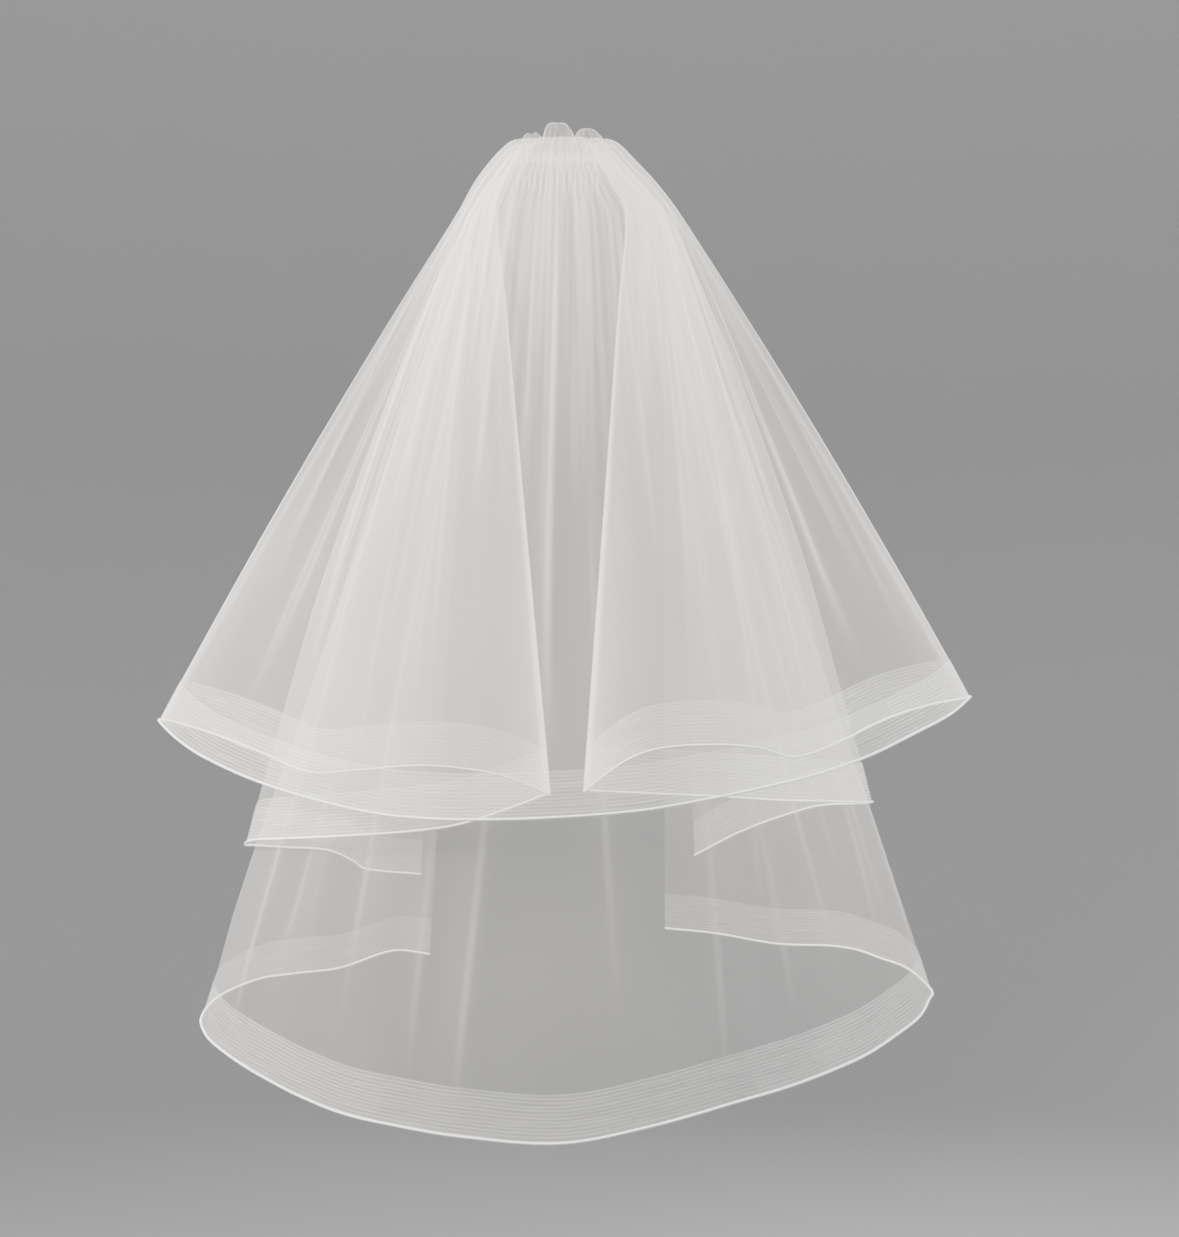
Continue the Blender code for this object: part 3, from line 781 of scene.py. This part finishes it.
class VeilColours(bpy.types.PropertyGroup):
    tulle: bpy.props.FloatVectorProperty(
        name="Tulle", description="Colour of the tulle", subtype="COLOR", size=3,
        default=(0.94, 0.905, 0.85), min=0, max=1)
    braid: bpy.props.FloatVectorProperty(
        name="Braid", description="Colour of the horsehair braid", subtype="COLOR", size=3,
        default=(0.96, 0.94, 0.905), min=0, max=1)
    thread: bpy.props.FloatVectorProperty(
        name="Thread", description="Colour of cord and sewing thread", subtype="COLOR", size=3,
        default=(0.96, 0.945, 0.91), min=0, max=1)
    comb: bpy.props.FloatVectorProperty(
        name="Comb", description="Colour of the comb's metal", subtype="COLOR", size=3,
        default=(0.42, 0.40, 0.38), min=0, max=1)
    opacity: bpy.props.FloatProperty(
        name="Tulle opacity", description="Share of light that one layer of the net stops",
        default=0.105, min=0.02, max=0.6, subtype="FACTOR")


class VeilStage(bpy.types.PropertyGroup):
    floor: bpy.props.FloatVectorProperty(
        name="Floor", description="Colour of the floor and backdrop", subtype="COLOR", size=3,
        default=(0.58, 0.57, 0.56), min=0, max=1)
    floor_height: bpy.props.FloatProperty(
        name="Floor height", description="Height of the floor, with the comb at zero",
        default=-1.62, min=-3, max=-0.95, unit="LENGTH")
    floor_radius: bpy.props.FloatProperty(
        name="Floor radius", description="Radius of the level part of the floor",
        default=3.2, min=2, max=10, unit="LENGTH")
    cove_radius: bpy.props.FloatProperty(
        name="Cove radius", description="Radius of the curve from the floor up into the backdrop",
        default=1.8, min=0.2, max=4, unit="LENGTH")
    wall_height: bpy.props.FloatProperty(
        name="Backdrop height", description="Height of the upright part of the backdrop",
        default=2.2, min=0.5, max=6, unit="LENGTH")
    camera_distance: bpy.props.FloatProperty(
        name="Camera distance", description="Distance of the camera from the comb",
        default=1.9, min=0.8, max=5, unit="LENGTH")
    lens: bpy.props.FloatProperty(
        name="Lens", description="Focal length on a 36 mm sensor", default=58.2, min=20, max=200,
        unit="CAMERA")


def shared_material(name, make, *values):
    """The material of this name, made when a piece first asks for it."""
    return bpy.data.materials.get(name) or make(*values)


def tulle():
    scene = bpy.context.scene
    return shared_material("soft_tulle", tulle_material, scene.veil_colours, scene.veil_sizes)


def braid():
    scene = bpy.context.scene
    return shared_material("horsehair_braid", braid_material, scene.veil_colours, scene.veil_sizes)


def thread():
    return shared_material("white_thread", thread_material, bpy.context.scene.veil_colours)


def tier_cloth(name, drape, rows, nodes):
    down = drop_positions(rows)
    points, crowding = drape.surface(down)
    drawn = np.broadcast_to(drape.drawn(down)[:, None], crowding.shape)
    obj = grid_piece(name, points, drape.cloth_uv(down), crowding=crowding, drawn=drawn)
    return finish_piece(obj, tulle(), "tulle", *nodes)


def hem_braid(name, drape, nodes):
    """The braid lies on the right side of the sheet, from its own points moved out."""
    top = 1 - drape.braid_width / drape.drop
    down = np.linspace(top, 1 - BRAID_SHORT / drape.drop, BRAID_ROWS)
    points, _ = drape.surface(down)
    points = points + drape.normals(points) * BRAID_CLEAR
    obj = grid_piece(name, points, drape.cloth_uv(down))
    return finish_piece(obj, braid(), "braid", *nodes)


def cord_line(name, lines, radius, slot):
    """Round cords as one mesh. Each line is a row of points, and whether it closes."""
    curve = bpy.data.curves.new(name, "CURVE")
    curve.dimensions = "3D"
    curve.bevel_depth = radius
    curve.bevel_resolution = 1
    curve.use_fill_caps = True
    for points, closed in lines:
        spline = curve.splines.new("POLY")
        spline.points.add(len(points) - 1)
        spline.points.foreach_set("co", np.c_[points, np.ones(len(points))].ravel())
        spline.use_cyclic_u = closed
    guide = bpy.data.objects.new(name + "_guide", curve)
    bpy.context.scene.collection.objects.link(guide)
    graph = bpy.context.evaluated_depsgraph_get()
    mesh = bpy.data.meshes.new_from_object(guide.evaluated_get(graph))
    bpy.data.objects.remove(guide)
    mesh.name = name
    return finish_piece(smooth_piece(name, mesh), thread(), slot)


def hem_cord(name, drape, radius):
    """The corded edge lies on the braid's lower edge, just clear of the sheet."""
    down = [0.985, 1.0 - 0.6 * radius / drape.drop]
    points, _ = drape.surface(down)
    points = points + drape.normals(points) * radius
    return cord_line(name, [(points[-1], False)], radius, "braid")


def hang_tier(name, part, drape, rows, stretches):
    cloth = tier_cloth(name, drape, rows, [f"{part}_tier_{stretch}" for stretch in stretches])
    hem = hem_braid(f"{part}_hem_braid", drape, [f"{part}_braid_{stretch}" for stretch in stretches])
    cord = hem_cord(f"{part}_hem_cord", drape, bpy.context.scene.veil_sizes.cord_radius)


class VEIL_OT_upper_tier(bpy.types.Operator):
    """Drapes the upper tier: one sheet that folds back on itself at both sides."""

    bl_idname = "veil.upper_tier"
    bl_label = "Upper tier"

    def execute(self, context):
        drape = Drape(UPPER_SHEET, UPPER_COLUMNS, gathers=74, seed=11, crest=1.0, gather_share=1.0)
        hang_tier("upper_tier", "upper", drape, UPPER_ROWS, UPPER_STRETCHES)
        return {"FINISHED"}


class VEIL_OT_lower_tier(bpy.types.Operator):
    """Drapes the lower tier: one sheet round the body, open at the front."""

    bl_idname = "veil.lower_tier"
    bl_label = "Lower tier"

    def execute(self, context):
        drape = Drape(LOWER_SHEET, LOWER_COLUMNS, gathers=44, seed=29, crest=0.55, gather_share=0.6)
        hang_tier("lower_tier_sheet", "lower", drape, LOWER_ROWS, LOWER_STRETCHES)
        return {"FINISHED"}


def heading_points(gathers):
    """The sheets drawn up into pleats, pinched at the line of stitching."""
    share = np.linspace(0, 1, gathers * PLEAT_COLUMNS + 1)
    height = np.linspace(1, 0, HEADING_ROWS)
    s, h = np.meshgrid(share, height)
    x = HEADING_CENTRE_X + HEADING_HALF * (2 * s - 1)
    phase = 2 * math.pi * gathers * s + 0.5 * np.sin(11 * s)
    taper = np.sqrt(np.clip(1 - ((x - HEADING_CENTRE_X) / HEADING_TAPER) ** 2, 0.04, 1))
    pinch = 1 - 0.30 * np.exp(-(((h - STITCH_HEIGHT) / 0.16) ** 2))
    depth = HEADING_DEPTH * taper * pinch * (0.9 + 0.1 * np.sin(7 * s + 1))
    y = depth * np.tanh(1.6 * np.sin(phase)) / math.tanh(1.6)
    z = HEADING_BOTTOM + (HEADING_TOP - HEADING_BOTTOM) * h
    lean = 0.4 * MM * np.sin(2 * phase) * (1 - pinch)
    return np.stack([x + lean, y, z], axis=2)


class VEIL_OT_heading(bpy.types.Operator):
    """Gathers the heading along the comb and turns its loops over the stitching."""

    bl_idname = "veil.heading"
    bl_label = "Heading and loops"

    def execute(self, context):
        points = heading_points(context.scene.veil_sizes.heading_gathers)
        along = np.concatenate([[0], np.cumsum(np.linalg.norm(np.diff(points[0], axis=0), axis=1))])
        down = np.linspace(0, HEADING_TOP - HEADING_BOTTOM, HEADING_ROWS)
        uv = np.stack(np.meshgrid(along, down), axis=2)
        crowding = np.full(points.shape[:2], HEADING_CROWDING)
        heading = grid_piece("heading_gathers", points, uv, crowding=crowding)
        finish_piece(heading, tulle(), "tulle", "gathered_heading")
        finish_piece(heading_loops(), tulle(), "tulle", "puff_left", "puff_centre", "puff_right")
        return {"FINISHED"}


def loop_crowding(at):
    """Painted sheen along a loop's crest, and denser in the puckers where the thread draws it in and at
    the stitching. at is in mm.
    """
    crowding = np.zeros(len(at))
    for centre_x, half_width, half_depth, base, top, crimps, _, _ in LOOPS:
        across = (at[:, 0] - centre_x) / half_width
        through = at[:, 1] / half_depth
        rise = (at[:, 2] - base) / (top - base)
        crest = np.exp(-((through / 0.13) ** 2))
        turn = np.arctan2(through, across)
        wander = 0.9 * np.sin(5 * rise + centre_x) + 0.5 * np.sin(11 * rise)
        pucker = np.maximum(np.sin(2 * crimps * turn + wander), 0) ** 5
        pucker *= 1 - 0.5 * np.clip(rise, 0, 1)
        sewn = np.exp(-((rise / 0.10) ** 2))
        # crest is painted sheen; puckers and the stitching are crowded threads.
        share = 0.55 * crest + 0.5 * pucker + 0.25 * sewn
        crowding = np.where(np.abs(across) < 1.12, np.maximum(crowding, share), crowding)
    return crowding


def heading_loop(index, centre_x, half_width, half_depth, base, top, crimps, fall, dip):
    """One hollow loop of tulle, crimped where the thread draws it in."""
    bm = bmesh.new()
    bmesh.ops.create_uvsphere(bm, u_segments=64, v_segments=40, radius=1.0, calc_uvs=True)
    everything = bm.verts[:] + bm.edges[:] + bm.faces[:]
    bmesh.ops.bisect_plane(
        bm, geom=everything, plane_co=(0, 0, 0), plane_no=(0, 0, -1), clear_outer=True)
    for v in bm.verts:
        turn = math.atan2(v.co.y, v.co.x)
        rise = max(v.co.z, 0.0)
        wide = max(math.hypot(v.co.x, v.co.y), 1e-6) ** LOOP_SQUARE
        pucker = math.sin(crimps * turn + index) + 0.35 * math.sin(2.6 * crimps * turn + 2 * index)
        wide *= 1 + 0.055 * pucker * (1.25 - rise)
        sink = 1 - 0.07 * (1 + math.sin(crimps * turn + index + 0.6)) * wide * rise
        across = wide * math.cos(turn)
        slope = 1 - abs(fall) * max(across * math.copysign(1, fall), 0) ** 1.5
        slope -= dip * math.exp(-((across / 0.24) ** 2))
        v.co.x = (centre_x + half_width * across) * MM
        v.co.y = half_depth * wide * math.sin(turn) * MM
        v.co.z = (base + (top - base) * rise * sink * slope) * MM
    mesh = bpy.data.meshes.new("loop")
    bm.to_mesh(mesh)
    bm.free()
    return mesh


def heading_loops():
    """The loops joined into one piece, with the values that the tulle's material reads."""
    joined = bmesh.new()
    for index, loop in enumerate(LOOPS):
        mesh = heading_loop(index, *loop)
        joined.from_mesh(mesh)
        bpy.data.meshes.remove(mesh)
    mesh = bpy.data.meshes.new("heading_loops")
    joined.to_mesh(mesh)
    joined.free()
    at = np.empty(len(mesh.vertices) * 3)
    mesh.vertices.foreach_get("co", at)
    add_share(mesh, "crowding", loop_crowding(at.reshape(-1, 3) / MM))
    add_share(mesh, "drawn", np.full(len(mesh.vertices), LOOP_DRAWN))
    return smooth_piece("heading_loops", mesh)


class VEIL_OT_comb(bpy.types.Operator):
    """Finishes the comb and sews it to the heading with thread between its teeth."""

    bl_idname = "veil.comb"
    bl_label = "Comb and stitches"

    def execute(self, context):
        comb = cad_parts["comb"]
        comb.data.materials.clear()
        comb.data.materials.append(comb_material(context.scene.veil_colours))
        first = -COMB_PITCH * (COMB_TEETH - 1) / 2
        turn = np.linspace(0, 2 * math.pi, WRAP_POINTS + 1)[:-1]
        wraps = []
        for gap in range(COMB_TEETH - 1):
            middle = first + COMB_PITCH * (gap + 0.5)
            for shift in WRAP_SHIFTS:
                points = np.stack([
                    middle + (shift + WRAP_LEAN * np.sin(turn)) * MM,
                    WRAP_HALF_DEPTH * MM * np.cos(turn),
                    (WRAP_MIDDLE + WRAP_HALF_HEIGHT * np.sin(turn)) * MM,
                ], axis=1)
                wraps.append((points, True))
        cord_line("comb_stitches", wraps, WRAP_THREAD * MM, "tulle")
        return {"FINISHED"}


class VEIL_OT_stage(bpy.types.Operator):
    """Sets the floor, the soft light and the camera at the picture's angle."""

    bl_idname = "veil.stage"
    bl_label = "Floor, light and camera"

    def execute(self, context):
        scene = context.scene
        stage = scene.veil_stage
        self.floor(stage)
        self.lights()
        self.camera(scene, stage)
        world = bpy.data.worlds.new("studio")
        world.use_nodes = True
        back = world.node_tree.nodes["Background"]
        back.inputs["Color"].default_value = (*SKY_COLOUR, 1)
        back.inputs["Strength"].default_value = SKY_STRENGTH
        scene.world = world
        # Sight lines cross up to a dozen layers of tulle, and light between them evens out soon.
        scene.cycles.transparent_max_bounces = 40
        scene.cycles.diffuse_bounces = 1
        scene.cycles.max_bounces = 2
        return {"FINISHED"}

    def camera(self, scene, stage):
        camera = bpy.data.cameras.new("camera")
        camera.lens = stage.lens
        camera.sensor_fit = "VERTICAL"
        camera.sensor_height = SENSOR_HEIGHT
        camera.clip_start = 0.05
        holder = bpy.data.objects.new("camera", camera)
        holder.location = (CAMERA_X, -stage.camera_distance, CAMERA_Z)
        holder.rotation_euler = (math.radians(90), 0, 0)
        scene.collection.objects.link(holder)
        scene.camera = holder

    def floor(self, stage):
        """A round pale floor that curves up into the backdrop on every side."""
        bm = bmesh.new()
        bmesh.ops.create_grid(bm, x_segments=120, y_segments=120, size=1)
        flat, bend = stage.floor_radius, stage.cove_radius
        for v in bm.verts:
            ring = max(abs(v.co.x), abs(v.co.y))
            turn = math.atan2(v.co.y, v.co.x)
            run = ring * (flat + bend * math.pi / 2 + stage.wall_height)
            angle = min(max(run - flat, 0.0) / bend, math.pi / 2)
            reach = min(run, flat) + bend * math.sin(angle)
            up = bend * (1 - math.cos(angle)) + max(0.0, run - flat - bend * math.pi / 2)
            v.co = (reach * math.cos(turn), reach * math.sin(turn), stage.floor_height + up)
        mesh = bpy.data.meshes.new("floor")
        bm.to_mesh(mesh)
        bm.free()
        floor = smooth_piece("floor", mesh)
        paint = Nodes("studio_floor")
        paint.set(Base_Color=(*stage.floor, 1), Roughness=0.9)
        mesh.materials.append(paint.material)

    def lights(self):
        for name, place, aim, size, watts, spread, shadow, colour in LIGHTS:
            light = bpy.data.lights.new(name, "AREA")
            light.size = size
            light.energy = watts
            light.color = colour
            light.spread = math.radians(spread)
            light.use_shadow = shadow
            holder = bpy.data.objects.new(name, light)
            holder.visible_camera = False
            holder.location = place
            toward = [a - b for a, b in zip(aim, place)]
            flat = math.hypot(toward[0], toward[1])
            holder.rotation_euler = (
                math.atan2(flat, -toward[2]), 0, math.atan2(toward[1], toward[0]) - math.pi / 2)
            bpy.context.scene.collection.objects.link(holder)


class VEIL_PT_panel(bpy.types.Panel):
    """Lists the veil's sizes, colours and pieces in the sidebar."""

    bl_idname = "VEIL_PT_panel"
    bl_label = "Bridal veil"
    bl_space_type = "VIEW_3D"
    bl_region_type = "UI"
    bl_category = "Veil"

    def draw(self, context):
        layout = self.layout
        for group in (context.scene.veil_sizes, context.scene.veil_colours, context.scene.veil_stage):
            box = layout.box()
            for name in group.__annotations__:
                box.prop(group, name)
        for operator in OPERATORS:
            layout.operator(operator.bl_idname)


GROUPS = (VeilSizes, VeilColours, VeilStage)
OPERATORS = (
    VEIL_OT_upper_tier,
    VEIL_OT_lower_tier,
    VEIL_OT_heading,
    VEIL_OT_comb,
    VEIL_OT_stage,
)


def register():
    for cls in (*GROUPS, *OPERATORS, VEIL_PT_panel):
        bpy.utils.register_class(cls)
    bpy.types.Scene.veil_sizes = bpy.props.PointerProperty(type=VeilSizes)
    bpy.types.Scene.veil_colours = bpy.props.PointerProperty(type=VeilColours)
    bpy.types.Scene.veil_stage = bpy.props.PointerProperty(type=VeilStage)


def unregister():
    del bpy.types.Scene.veil_stage
    del bpy.types.Scene.veil_colours
    del bpy.types.Scene.veil_sizes
    for cls in (VEIL_PT_panel, *reversed(OPERATORS), *reversed(GROUPS)):
        bpy.utils.unregister_class(cls)


def main():
    register()
    bpy.ops.veil.upper_tier()
    bpy.ops.veil.lower_tier()
    bpy.ops.veil.heading()
    bpy.ops.veil.comb()
    bpy.ops.veil.stage()


if __name__ == "__main__":
    main()
